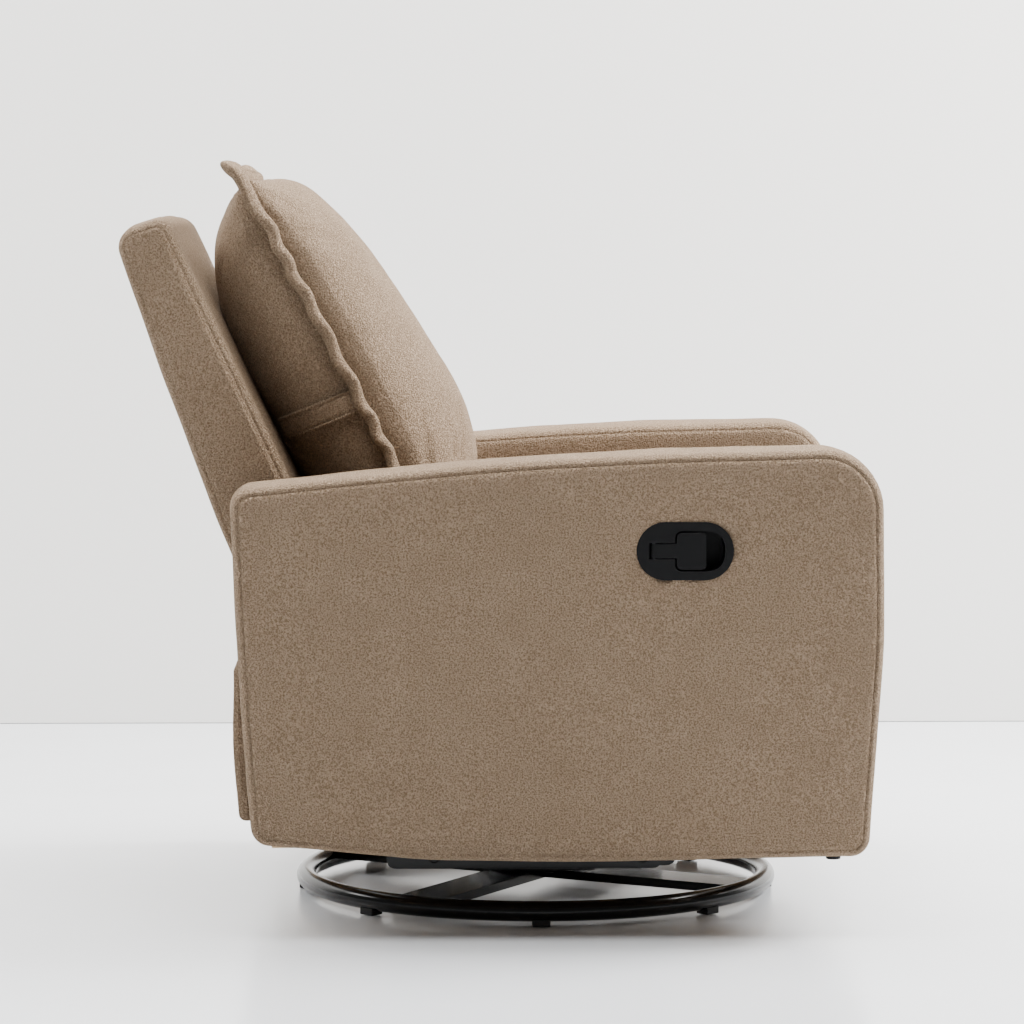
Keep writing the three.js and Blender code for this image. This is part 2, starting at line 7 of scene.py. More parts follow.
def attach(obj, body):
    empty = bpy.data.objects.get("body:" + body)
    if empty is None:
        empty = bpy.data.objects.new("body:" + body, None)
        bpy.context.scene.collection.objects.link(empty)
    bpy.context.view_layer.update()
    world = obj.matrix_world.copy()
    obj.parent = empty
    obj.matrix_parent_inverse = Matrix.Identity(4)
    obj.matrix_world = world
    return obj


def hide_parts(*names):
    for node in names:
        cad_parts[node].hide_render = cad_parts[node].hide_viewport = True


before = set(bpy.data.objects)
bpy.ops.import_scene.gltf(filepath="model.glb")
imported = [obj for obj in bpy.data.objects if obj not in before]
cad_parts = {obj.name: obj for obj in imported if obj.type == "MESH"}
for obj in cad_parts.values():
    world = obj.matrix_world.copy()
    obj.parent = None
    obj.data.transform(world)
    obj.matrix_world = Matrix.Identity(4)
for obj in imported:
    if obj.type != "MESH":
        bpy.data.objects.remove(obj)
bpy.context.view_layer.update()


# The camera: a long lens level with the top of the chair, square to its right side and looking
# slightly down.
camera = bpy.data.objects.new("camera", bpy.data.cameras.new("camera"))
bpy.context.collection.objects.link(camera)
camera.data.lens = 142.4
camera.data.sensor_width = 36.0
camera.data.clip_end = 60.0
camera.location = (-5.160, 0.068, 0.8605)
camera.rotation_euler = (math.radians(85.808), 0.0, math.radians(-91.018))
bpy.context.scene.camera = camera


# The studio: a painted wall behind a pale, slightly glossy floor. Neither is part of the chair.
def linear(hex_colour):
    """An sRGB hex colour as linear red, green, blue and alpha."""
    channels = [int(hex_colour[i : i + 2], 16) / 255 for i in (0, 2, 4)]
    return [c / 12.92 if c <= 0.04045 else ((c + 0.055) / 1.055) ** 2.4 for c in channels] + [1.0]


def add_node(tree, kind, inputs, **settings):
    """A shader node with its settings. Each input is a value, or the socket that it is linked from."""
    made = tree.nodes.new(kind)
    for name, value in settings.items():
        setattr(made, name, value)
    for socket, value in inputs.items():
        if isinstance(value, bpy.types.NodeSocket):
            tree.links.new(value, made.inputs[socket])
        else:
            made.inputs[socket].default_value = value
    return made


def new_material(name):
    """An empty material, its node tree and its Principled shader."""
    material = bpy.data.materials.new(name)
    material.use_nodes = True
    return material, material.node_tree, material.node_tree.nodes["Principled BSDF"]


def only(obj):
    """Selects obj alone and makes it active."""
    bpy.ops.object.select_all(action="DESELECT")
    obj.select_set(True)
    bpy.context.view_layer.objects.active = obj


def settle(obj):
    """Puts obj's place, turn and size into its mesh."""
    only(obj)
    bpy.ops.object.transform_apply(location=True, rotation=True, scale=True)


# Matt wall paint: one even colour with the faint mottle of a roller.
wall_paint, tree, shader = new_material("matt_wall_paint")
where = add_node(tree, "ShaderNodeTexCoord", {}).outputs["Object"]
mottle = add_node(tree, "ShaderNodeTexNoise", {"Vector": where, "Scale": 0.7, "Detail": 2.0})
tint = add_node(
    tree,
    "ShaderNodeMix",
    {"Factor": mottle.outputs["Fac"], 6: linear("dedcd8"), 7: linear("e4e2de")},
    data_type="RGBA",
)
tree.links.new(tint.outputs[2], shader.inputs["Base Color"])
shader.inputs["Roughness"].default_value = 0.95

# Gloss laminate: a pale sheet that mirrors the base ring softly.
floor_sheet, tree, shader = new_material("pale_gloss_laminate")
where = add_node(tree, "ShaderNodeTexCoord", {}).outputs["Object"]
smear = add_node(tree, "ShaderNodeTexNoise", {"Vector": where, "Scale": 3.0, "Detail": 3.0})
gloss = add_node(
    tree, "ShaderNodeMapRange", {"Value": smear.outputs["Fac"], "To Min": 0.16, "To Max": 0.26}
)
tree.links.new(gloss.outputs["Result"], shader.inputs["Roughness"])
shader.inputs["Base Color"].default_value = linear("e2e4e7")
shader.inputs["Specular IOR Level"].default_value = 0.45

FLOOR_BACK = 1.69
FLOOR_DEPTH = 14.0
ROOM_WIDTH = 16.0
WALL_HEIGHT = 6.0
bpy.ops.object.select_all(action="DESELECT")
bpy.ops.mesh.primitive_plane_add(size=1, location=(FLOOR_BACK - FLOOR_DEPTH / 2, 0, -0.001))
floor = bpy.context.object
floor.name = "floor"
floor.scale = (FLOOR_DEPTH, ROOM_WIDTH, 1.0)
settle(floor)
floor.data.materials.append(floor_sheet)
bpy.ops.mesh.primitive_plane_add(
    size=1, location=(FLOOR_BACK, 0, WALL_HEIGHT / 2), rotation=(0, math.radians(-90), 0)
)
wall = bpy.context.object
wall.name = "wall"
wall.scale = (WALL_HEIGHT, ROOM_WIDTH, 1.0)
settle(wall)
wall.data.materials.append(wall_paint)

world = bpy.data.worlds.new("studio")
bpy.context.scene.world = world
world.use_nodes = True
world.node_tree.nodes["Background"].inputs["Color"].default_value = linear("f2f1ee")
world.node_tree.nodes["Background"].inputs["Strength"].default_value = 0.24


def add_softbox(name, size, power, place, target):
    """A square area light at place that faces target."""
    bpy.ops.object.light_add(type="AREA", location=place)
    light = bpy.context.object
    light.name = name
    light.data.shape = "SQUARE"
    light.data.size = size
    light.data.energy = power
    light.rotation_euler = (Vector(target) - Vector(place)).to_track_quat("-Z", "Y").to_euler()


add_softbox("key_softbox", 1.4, 230, (0.5, -2.6, 2.3), (0, -0.1, 0.6))
add_softbox("top_softbox", 3.2, 330, (-0.3, 0.1, 3.7), (0, 0, 0.4))
add_softbox("wall_wash_left", 1.6, 130, (0.5, 2.8, 2.4), (FLOOR_BACK, 0.6, 0.9))
add_softbox("wall_wash_right", 1.6, 130, (0.5, -2.9, 2.4), (FLOOR_BACK, -0.6, 0.9))


# The base ring: round steel tube rolled to a circle and butt welded, then powder coated gloss black.
# The camera sees it as a dark hoop with thin highlights along its upper side.
RING_CENTRE = (0.0, -0.054, 0.0178)
RING_RADIUS = 0.294
TUBE_RADIUS = 0.0125
WELD_AT = math.radians(70)
BEAD_WIDTH = 0.0022
BEAD_HEIGHT = 0.0008
bpy.ops.object.select_all(action="DESELECT")
bpy.ops.mesh.primitive_torus_add(
    location=RING_CENTRE,
    major_radius=RING_RADIUS,
    minor_radius=TUBE_RADIUS,
    major_segments=160,
    minor_segments=24,
)
ring = bpy.context.object
ring.name = "base_ring_tube"
settle(ring)
for vertex in ring.data.vertices:
    offset = vertex.co - Vector(RING_CENTRE)
    angle = math.atan2(offset.y, offset.x) - WELD_AT
    bead = math.exp(-((angle * RING_RADIUS / BEAD_WIDTH) ** 2))
    on_circle = Vector((offset.x, offset.y, 0)).normalized() * RING_RADIUS
    vertex.co += (offset - on_circle).normalized() * BEAD_HEIGHT * bead
only(ring)
bpy.ops.object.shade_smooth()

# Gloss black powder coat: near-black polyester with a faint orange peel that softens its highlights.
powder_coat, tree, shader = new_material("gloss_black_powder_coat")
where = add_node(tree, "ShaderNodeTexCoord", {}).outputs["Object"]
peel = add_node(tree, "ShaderNodeTexNoise", {"Vector": where, "Scale": 420.0, "Detail": 1.0})
bump = add_node(tree, "ShaderNodeBump", {"Height": peel.outputs["Fac"], "Strength": 0.06, "Distance": 0.0004})
scuff = add_node(tree, "ShaderNodeTexNoise", {"Vector": where, "Scale": 26.0, "Detail": 5.0})
dull = add_node(tree, "ShaderNodeMapRange", {"Value": scuff.outputs["Fac"], "To Min": 0.16, "To Max": 0.22})
tree.links.new(bump.outputs["Normal"], shader.inputs["Normal"])
tree.links.new(dull.outputs["Result"], shader.inputs["Roughness"])
shader.inputs["Base Color"].default_value = linear("050506")
shader.inputs["Specular IOR Level"].default_value = 0.3
ring.data.materials.append(powder_coat)
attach(ring, "base")
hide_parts("base_ring")


# The cross under the swivel: two flat steel bars, welded to each other and to the ring, and the
# turned pedestal that carries the swivel's bearing. All are powder coated with the ring.
MERGE_WITHIN = 0.00005
EASED_OVER = math.radians(40)


def show(node, material, bevel=0.0):
    """A CAD node with its edges eased and its finish, shown as it is."""
    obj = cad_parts[node]
    obj.data.materials.clear()
    obj.data.materials.append(material)
    weld = obj.modifiers.new("weld", "WELD")
    weld.merge_threshold = MERGE_WITHIN
    if bevel:
        ease = obj.modifiers.new("ease", "BEVEL")
        ease.width = bevel
        ease.segments = 2
        ease.limit_method = "ANGLE"
        ease.angle_limit = EASED_OVER
    for polygon in obj.data.polygons:
        polygon.use_smooth = False
    return obj


show("base_cross", powder_coat, bevel=0.0012)
show("swivel_pedestal", powder_coat, bevel=0.001)


# Rubber pads: eight moulded blocks pushed onto the tube from below, so that the ring stands clear
# of the floor.
# Rubber: matt black with a fine grain that turns its edges grey.
pad_rubber, tree, shader = new_material("moulded_black_rubber")
where = add_node(tree, "ShaderNodeTexCoord", {}).outputs["Object"]
grain = add_node(tree, "ShaderNodeTexNoise", {"Vector": where, "Scale": 900.0, "Detail": 2.0})
bump = add_node(tree, "ShaderNodeBump", {"Height": grain.outputs["Fac"], "Strength": 0.3, "Distance": 0.0004})
tree.links.new(bump.outputs["Normal"], shader.inputs["Normal"])
shader.inputs["Base Color"].default_value = linear("1a1a1a")
shader.inputs["Roughness"].default_value = 0.7
for i in range(1, 9):
    show(f"ring_pad_{i}", pad_rubber, bevel=0.0012)


# The swivel's bearing ring and its king pin: zinc plated steel, held by the pedestal and the cross.
# Zinc plate: pale blue-grey, with a dull crystalline mottle.
zinc_plate, tree, shader = new_material("zinc_plated_steel")
where = add_node(tree, "ShaderNodeTexCoord", {}).outputs["Object"]
spangle = add_node(tree, "ShaderNodeTexVoronoi", {"Vector": where, "Scale": 160.0})
dull = add_node(
    tree, "ShaderNodeMapRange", {"Value": spangle.outputs["Distance"], "To Min": 0.3, "To Max": 0.48}
)
tree.links.new(dull.outputs["Result"], shader.inputs["Roughness"])
shader.inputs["Base Color"].default_value = linear("b4b7bb")
shader.inputs["Metallic"].default_value = 1.0
show("swivel_bearing", zinc_plate, bevel=0.0008)
show("king_pin", zinc_plate, bevel=0.0008)


# The carrier on the swivel, the four links that hang from it and the seat's hangers: steel plate,
# powder coated black like the ring. The links turn on studs that are riveted into the plates.
show("swivel_plate", powder_coat, bevel=0.0008)
for side in ("left", "right"):
    show(f"glide_rail_{side}", powder_coat, bevel=0.0008)
    show(f"glide_hanger_{side}", powder_coat, bevel=0.0008)
for end in ("front", "rear"):
    for side in ("left", "right"):
        show(f"glide_link_{end}_{side}", powder_coat, bevel=0.0006)


# The seat frame: birch plywood rails and boards, screwed and glued, with zigzag springs stapled over them.
# Plywood: pale birch with a long grain along the rails and darker glue lines on cut edges.
plywood, tree, shader = new_material("birch_plywood")
where = add_node(tree, "ShaderNodeTexCoord", {}).outputs["Object"]
stretch = add_node(tree, "ShaderNodeMapping", {"Vector": where, "Scale": (60.0, 5.0, 60.0)})
grain = add_node(
    tree, "ShaderNodeTexNoise", {"Vector": stretch.outputs["Vector"], "Scale": 2.2, "Detail": 6.0}
)
plies = add_node(
    tree,
    "ShaderNodeTexWave",
    {"Vector": where, "Scale": 110.0, "Distortion": 0.6},
    bands_direction="X",
)
streak = add_node(
    tree,
    "ShaderNodeMix",
    {"Factor": grain.outputs["Fac"], 6: linear("b08a5c"), 7: linear("d9bd93")},
    data_type="RGBA",
)
layered = add_node(
    tree,
    "ShaderNodeMix",
    {"Factor": 0.18, 6: streak.outputs[2], 7: plies.outputs["Color"]},
    data_type="RGBA",
    blend_type="MULTIPLY",
)
bump = add_node(tree, "ShaderNodeBump", {"Height": grain.outputs["Fac"], "Strength": 0.2, "Distance": 0.0005})
tree.links.new(layered.outputs[2], shader.inputs["Base Color"])
tree.links.new(bump.outputs["Normal"], shader.inputs["Normal"])
shader.inputs["Roughness"].default_value = 0.7
for node_name in (
    "side_rail_left",
    "side_rail_right",
    "front_rail",
    "rear_rail",
    "cross_board_front",
    "cross_board_rear",
    "arm_frame_left",
    "arm_frame_right",
    "back_board",
    "footrest_board",
):
    show(node_name, plywood, bevel=0.001)

# Spring wire: hard drawn steel, grey-brown from its oil.
spring_wire, tree, shader = new_material("oiled_spring_wire")
where = add_node(tree, "ShaderNodeTexCoord", {}).outputs["Object"]
stain = add_node(tree, "ShaderNodeTexNoise", {"Vector": where, "Scale": 90.0, "Detail": 3.0})
tone = add_node(
    tree,
    "ShaderNodeMix",
    {"Factor": stain.outputs["Fac"], 6: linear("4c4a48"), 7: linear("7d7b78")},
    data_type="RGBA",
)
tree.links.new(tone.outputs[2], shader.inputs["Base Color"])
shader.inputs["Metallic"].default_value = 1.0
shader.inputs["Roughness"].default_value = 0.42
for i in (1, 2, 3):
    show(f"seat_spring_{i}", spring_wire)


# The arms: a plywood frame in foam, covered in fleece. A side panel is sewn to each edge of a long
# boxing strip that runs over the front, the top and the rear. The seams lie just inside the outline.
def arc_outline(corners, angle_step=9.0, longest=0.02):
    """A closed outline through (y, z, radius) corners, anticlockwise, with true arcs and even straights."""
    count = len(corners)
    arcs = []
    for i, (y, z, radius) in enumerate(corners):
        corner = Vector((y, z))
        into = (corner - Vector(corners[i - 1][:2])).normalized()
        out = (Vector(corners[(i + 1) % count][:2]) - corner).normalized()
        turn = -into.angle_signed(out, 0.0)  # angle_signed counts clockwise
        if abs(turn) < 1e-4:
            arcs.append([corner])
            continue
        back = radius * math.tan(abs(turn) / 2)
        start = corner - into * back
        centre = start + Vector((-into.y, into.x)) * radius * (1 if turn > 0 else -1)
        steps = max(2, math.ceil(math.degrees(abs(turn)) / angle_step))
        arm = start - centre
        arcs.append([centre + Matrix.Rotation(turn * k / steps, 2) @ arm for k in range(steps + 1)])
    points = []
    for i, arc in enumerate(arcs):
        points.extend(arc)
        following = arcs[(i + 1) % count][0]
        gap = following - arc[-1]
        pieces = math.ceil(gap.length / longest)
        points.extend(arc[-1] + gap * k / pieces for k in range(1, pieces))
    return points


def shaped_ball(name, around, rings, place):
    """A closed mesh with a pole at either end. place(ring, step) says where each vertex goes."""
    bpy.ops.object.select_all(action="DESELECT")
    bpy.ops.mesh.primitive_uv_sphere_add(segments=around, ring_count=rings, radius=1.0)
    ball = bpy.context.object
    ball.name = name
    for vertex in ball.data.vertices:
        ring = round(math.acos(max(-1.0, min(1.0, vertex.co.z))) / math.pi * rings)
        step = round(math.atan2(vertex.co.y, vertex.co.x) / (2 * math.pi) * around) % around
        vertex.co = place(ring, step)
    only(ball)
    bpy.ops.object.shade_smooth()
    return ball


def inward_normals(outline):
    """The inward normal at each point of an anticlockwise outline."""
    count = len(outline)
    normals = []
    for i in range(count):
        along = (outline[(i + 1) % count] - outline[i - 1]).normalized()
        normals.append(Vector((-along.y, along.x)))
    return normals


FACE_STEPS = (0.86, 0.72, 0.58, 0.44, 0.3, 0.18, 0.09, 0.03)
SEAM_LIP = 0.0017


def padded_slab(
    name, corners, x_low, x_high, edge, seam, crown, band_steps, band_crown=0.0, groove=0.0024
):
    """A boxed cushion shape: an outline in Y and Z, with rounded edges and a sewn seam that lies seam
    in from the outline on either face. The faces crown by crown, the boxing strip by band_crown."""
    outline = arc_outline(corners)
    normals = inward_normals(outline)
    low = Vector((min(p.x for p in outline), min(p.y for p in outline)))
    high = Vector((max(p.x for p in outline), max(p.y for p in outline)))
    centre = (low + high) / 2
    reach_of = (high - low) / 2
    seam_turn = math.asin(max(0.0, 1 - seam / edge))
    stations = [("centre", 1.0, 0.0)]
    stations += [("face", f, 0.0) for f in FACE_STEPS]
    stations += [("edge", 0.0, 0.0)]
    lip = SEAM_LIP / edge
    stations += [
        ("edge", max(0.0, seam_turn - lip), 0.0),
        ("edge", seam_turn, 1.0),
        ("edge", seam_turn + lip, 0.0),
    ]
    rest = math.pi / 2 - seam_turn - lip
    stations += [("edge", seam_turn + lip + rest * k / 4, 0.0) for k in range(1, 5)]
    half = (x_high - x_low) / 2
    middle = (x_high + x_low) / 2
    reach = half - edge
    band = [("band", 1 - 2 * k / band_steps, 0.0) for k in range(1, band_steps)]
    rings = stations + band + [(kind, a, b) for kind, a, b in reversed(stations)]
    last = len(rings) - 1

    def place(ring, step):
        kind, value, depth = rings[ring]
        sign = 1 if ring <= last / 2 else -1
        point, inward = outline[step], normals[step]
        if kind == "band":
            bulge = band_crown * (1 - value**2)
            flat = point - inward * bulge
            spot = Vector((middle + reach * value, flat.x, flat.y))
        elif kind == "edge":
            radius = edge - groove * depth
            flat = point + inward * (edge - radius * math.sin(value))
            spot = Vector((middle + sign * (reach + radius * math.cos(value)), flat.x, flat.y))
        else:
            rim = point + inward * edge
            flat = rim.lerp(centre, value)
            along = abs((flat.x - centre.x) / reach_of.x)
            up = abs((flat.y - centre.y) / reach_of.y)
            rise = crown * max(0.0, 1 - along**4) * max(0.0, 1 - up**4)
            spot = Vector((middle + sign * (half + rise), flat.x, flat.y))
        return spot

    return shaped_ball(name, len(outline), last, place)


def soften(obj, size, height, seed):
    """Moves the surface in and out by up to height, over distances of about size, as stuffing does."""
    normals = [v.normal.copy() for v in obj.data.vertices]
    for vertex, normal in zip(obj.data.vertices, normals):
        lump = noise.noise(vertex.co / size + Vector((seed, seed * 0.7, 0)))
        lump += 0.5 * noise.noise(vertex.co / size * 2.1 + Vector((0, seed, seed)))
        vertex.co += normal * height * lump


def subdivide(obj):
    """One finished smoothing of the mesh."""
    only(obj)
    smooth = obj.modifiers.new("smooth", "SUBSURF")
    smooth.levels = smooth.render_levels = 1
    bpy.ops.object.modifier_apply(modifier="smooth")


ARM_FRONT, ARM_REAR = -0.457, 0.319
ARM_TOP_FRONT, ARM_TOP_REAR = 0.585, 0.536


def arm_top(y):
    """Height of the arm's gently arched top."""
    return ARM_TOP_FRONT - (ARM_TOP_FRONT - ARM_TOP_REAR) * ((y - ARM_FRONT) / (ARM_REAR - ARM_FRONT)) ** 2


arm_corners = [
    (-0.442, 0.099, 0.024),
    (-0.150, 0.0933, 0.5),
    (0.080, 0.095, 0.5),
    (0.293, 0.1143, 0.024),
    (0.308, 0.3256, 0.8),
    (0.318, 0.5366, 0.026),
    (0.190, arm_top(0.190), 0.5),
    (0.060, arm_top(0.060), 0.5),
    (-0.070, arm_top(-0.070), 0.5),
    (-0.200, arm_top(-0.200), 0.5),
    (-0.4555, 0.5852, 0.072),
    (-0.459, 0.355, 0.6),
]


# Curly fleece: brushed polyester with 2 to 4 mm curls. It gives a fine pebbled surface, pale tips
# over roots darkened by painted shade, broad patches where the nap lies another way, and a soft bright rim.
fleece, tree, shader = new_material("curly_polyester_fleece")
where = add_node(tree, "ShaderNodeTexCoord", {}).outputs["Object"]
curls = add_node(
    tree,
    "ShaderNodeTexNoise",
    {"Vector": where, "Scale": 500.0, "Detail": 2.0, "Roughness": 0.55, "Distortion": 0.4},
)
curl_height = add_node(
    tree, "ShaderNodeMapRange", {"Value": curls.outputs["Fac"], "From Min": 0.36, "From Max": 0.64}
)
nap = add_node(
    tree,
    "ShaderNodeTexNoise",
    {"Vector": where, "Scale": 22.0, "Detail": 4.0, "Roughness": 0.6, "Distortion": 0.4},
)
nap_tone = add_node(
    tree, "ShaderNodeMapRange", {"Value": nap.outputs["Fac"], "From Min": 0.3, "From Max": 0.7}
)
base_tone = add_node(
    tree,
    "ShaderNodeMix",
    {"Factor": nap_tone.outputs["Result"], 6: linear("a88f76"), 7: linear("b39a81")},
    data_type="RGBA",
)
# Painted shade: the base colour darkens to 79644e where the curls are low, standing in for the shade in the
# valleys between curls.
curl_valley_painted_shade = add_node(
    tree,
    "ShaderNodeMix",
    {"Factor": curl_height.outputs["Result"], 6: linear("79644e"), 7: base_tone.outputs[2]},
    data_type="RGBA",
)
bump = add_node(
    tree, "ShaderNodeBump", {"Height": curl_height.outputs["Result"], "Strength": 1.0, "Distance": 0.0032}
)
tree.links.new(curl_valley_painted_shade.outputs[2], shader.inputs["Base Color"])
tree.links.new(bump.outputs["Normal"], shader.inputs["Normal"])
shader.inputs["Roughness"].default_value = 0.95
shader.inputs["Specular IOR Level"].default_value = 0.2
shader.inputs["Sheen Weight"].default_value = 0.2
shader.inputs["Sheen Roughness"].default_value = 0.5
shader.inputs["Sheen Tint"].default_value = linear("d8bf9f")

# Right arm: its outer panel has a cut-out for the release cup, a slot with round ends.
CUP_Y, CUP_Z = -0.221, 0.465
CUP_END_RADIUS = 0.0315
CUP_HALF_STRAIGHT = 0.023


def cover(obj, body, node):
    """The cover's finish and its place in the frame."""
    obj.data.materials.append(fleece)
    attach(obj, body)
    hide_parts(node)


for side, low, high in (("left", 0.260, 0.400), ("right", -0.400, -0.260)):
    arm = padded_slab(
        f"arm_cover_{side}",
        arm_corners,
        low,
        high,
        edge=0.016,
        seam=0.009,
        crown=0.002,
        band_steps=8,
        band_crown=0.002,
    )
    soften(arm, size=0.11, height=0.0012, seed=3.0 if side == "left" else 8.0)
    if side == "right":
        bpy.ops.object.select_all(action="DESELECT")
        bpy.ops.mesh.primitive_cylinder_add(
            vertices=64,
            radius=CUP_END_RADIUS,
            depth=0.06,
            location=(-0.391, CUP_Y, CUP_Z),
            rotation=(0, math.radians(90), 0),
        )
        cutter = bpy.context.object
        settle(cutter)
        for vertex in cutter.data.vertices:
            vertex.co.y += CUP_HALF_STRAIGHT if vertex.co.y > CUP_Y else -CUP_HALF_STRAIGHT
        only(arm)
        hole = arm.modifiers.new("hole", "BOOLEAN")
        hole.operation = "DIFFERENCE"
        hole.solver = "EXACT"
        hole.object = cutter
        bpy.ops.object.modifier_apply(modifier="hole")
        bpy.data.objects.remove(cutter)
    else:
        subdivide(arm)
    cover(arm, "seat", f"arm_upholstery_{side}")


# Arm stubs: black plastic feet screwed to the arm frame, to stand the chair on when its base is off.
# Moulded ABS: satin black with a fine spark-eroded grain.
black_abs, tree, shader = new_material("moulded_black_abs")
where = add_node(tree, "ShaderNodeTexCoord", {}).outputs["Object"]
grain = add_node(tree, "ShaderNodeTexNoise", {"Vector": where, "Scale": 1400.0, "Detail": 1.0})
bump = add_node(
    tree, "ShaderNodeBump", {"Height": grain.outputs["Fac"], "Strength": 0.25, "Distance": 0.0002}
)
tree.links.new(bump.outputs["Normal"], shader.inputs["Normal"])
shader.inputs["Base Color"].default_value = linear("060607")
shader.inputs["Roughness"].default_value = 0.42
shader.inputs["Specular IOR Level"].default_value = 0.2
for side in ("left", "right"):
    show(f"arm_stub_{side}", black_abs, bevel=0.0012)


# The footrest release: a moulded cup pressed into the right arm, and a paddle that swings out on a
# pin. Cup and paddle are the same ABS as the stubs, and the pin is plated steel.
show("release_cup", black_abs, bevel=0.0018)
show("release_paddle", black_abs, bevel=0.0012)
show("release_pin", zinc_plate, bevel=0.0003)


# The seat cushion: a foam block in a boxed fleece cover that sits between the arms on the springs.
# The arms hide it in the photo, so its shape is inferred.
seat = padded_slab(
    "seat_cushion_cover",
    [(-0.450, 0.331, 0.022), (0.122, 0.331, 0.02), (0.122, 0.433, 0.03), (-0.450, 0.433, 0.045)],
    -0.256,
    0.256,
    edge=0.02,
    seam=0.010,
    crown=0.0015,
    band_steps=24,
    band_crown=0.006,
)
soften(seat, size=0.12, height=0.0025, seed=5.0)
subdivide(seat)
cover(seat, "seat", "seat_cushion")


# The rear panel: fleece over thin foam and board, closing the seat box between the arms. It is thin,
# so its edges and its seam are small.
rear = padded_slab(
    "rear_panel_cover",
    [
        (0.2965, 0.123, 0.006),
        (0.314, 0.123, 0.009),
        (0.321, 0.217, 0.5),
        (0.320, 0.315, 0.009),
        (0.2965, 0.315, 0.006),
    ],
    -0.258,
    0.258,
    edge=0.006,
    seam=0.003,
    crown=0.001,
    band_steps=20,
    groove=0.001,
)
soften(rear, size=0.09, height=0.0015, seed=2.0)
cover(rear, "seat", "rear_panel")


# The back: a plywood board in foam, with a boxed fleece cover. Its side panels are seamed just
# inside their outline, and steel brackets carry it on the seat frame.
back = padded_slab(
    "back_cover",
    [
        (0.168, 0.358, 0.024),
        (0.287, 0.358, 0.026),
        (0.3365, 0.479, 0.9),
        (0.4665, 0.8385, 0.026),
        (0.4000, 0.8600, 0.020),
        (0.2615, 0.5652, 0.9),
    ],
    -0.250,
    0.250,
    edge=0.014,
    seam=0.009,
    crown=0.002,
    band_steps=26,
    band_crown=0.004,
)
soften(back, size=0.12, height=0.002, seed=11.0)
subdivide(back)
cover(back, "back", "back_upholstery")
for side in ("left", "right"):
    show(f"recline_bracket_{side}", powder_coat, bevel=0.001)


# The pillow: two fleece panels sewn face to face and overfilled with fibre. Their edges are left
# outside the seam as a doubled flange that rolls and waves, with an ear at either upper corner.
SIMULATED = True
BODY_SHRINK = 0.92 if SIMULATED else 1.0
PILLOW_FOOT = Vector((0.0, 0.061, 0.437))
PILLOW_UP = Vector((0.0, 0.4648, 0.8854))
PILLOW_OUT = Vector((0.0, -0.8854, 0.4648))
PILLOW_HALF = 0.236
PILLOW_HEIGHT = 0.545
SEAM_INSET = 0.017
SIDES_PULLED_IN = 0.04
RIM_DEPTH = 0.0035
FRONT_DEPTH = 0.098
REAR_DEPTH = 0.120
GATHER_DEPTH = 0.012
FILLED_TO = 0.94
pillow_corners = [
    (-PILLOW_HALF, 0.004, 0.045),
    (PILLOW_HALF, 0.004, 0.045),
    (PILLOW_HALF, PILLOW_HEIGHT, 0.026),
    (-PILLOW_HALF, PILLOW_HEIGHT, 0.026),
]
pillow_edge = arc_outline(pillow_corners, angle_step=10.0, longest=0.006)
pillow_normals = inward_normals(pillow_edge)
pillow_middle = Vector((0.0, PILLOW_HEIGHT / 2))


def pillow_flat(edge):
    """A point of the pillow's edge from its middle, with the sides pulled in between the corners."""
    centred = edge - pillow_middle
    corner = abs(centred.x / PILLOW_HALF) ** 4 * abs(centred.y / pillow_middle.y) ** 4
    return centred * (1 - SIDES_PULLED_IN * (1 - corner))


def pillow_spot(flat, depth):
    """A point in space from its place in the pillow's plane and its height over that plane."""
    spot = PILLOW_FOOT + PILLOW_UP * (flat.y + pillow_middle.y) + PILLOW_OUT * depth
    return Vector((flat.x, spot.y, spot.z))


body_steps = (0.0, 0.08, 0.16, 0.24, 0.32, 0.4, 0.48, 0.56, 0.64)
body_steps += (0.71, 0.78, 0.84, 0.89, 0.93, 0.965, 0.985, 1.0)
body_rings = [("front", f) for f in body_steps] + [("rear", f) for f in reversed(body_steps[:-1])]


def body_place(ring, step):
    """Where a point of the pillow's body lies."""
    kind, fraction = body_rings[ring]
    rim = pillow_flat(pillow_edge[step]) + pillow_normals[step] * SEAM_INSET
    flat = rim * fraction
    across = min(1.0, abs(flat.x) / (PILLOW_HALF * FILLED_TO))
    height = max(-1.0, min(1.0, flat.y / (pillow_middle.y * FILLED_TO)))
    if kind == "front":
        full = max(0.0, (1 - across**2.8) * (1 - abs(height) ** 3.2)) ** 0.62
        depth = RIM_DEPTH + BODY_SHRINK * FRONT_DEPTH * full * (1.05 - 0.2 * height + 0.12 * height**2)
    else:
        full = max(0.0, (1 - across**5.0) * (1 - abs(height) ** 4.0)) ** 0.85
        depth = -RIM_DEPTH - BODY_SHRINK * REAR_DEPTH * full
    near_edge = math.exp(-(1 - fraction) / 0.10) * (1 - fraction**12)
    gather = noise.noise(Vector((step / len(pillow_edge) * 60, 7.0, fraction * 1.5)))
    depth += (GATHER_DEPTH if kind == "front" else -GATHER_DEPTH) * gather * near_edge
    return pillow_spot(flat, depth)


LAST_FRAME = 20


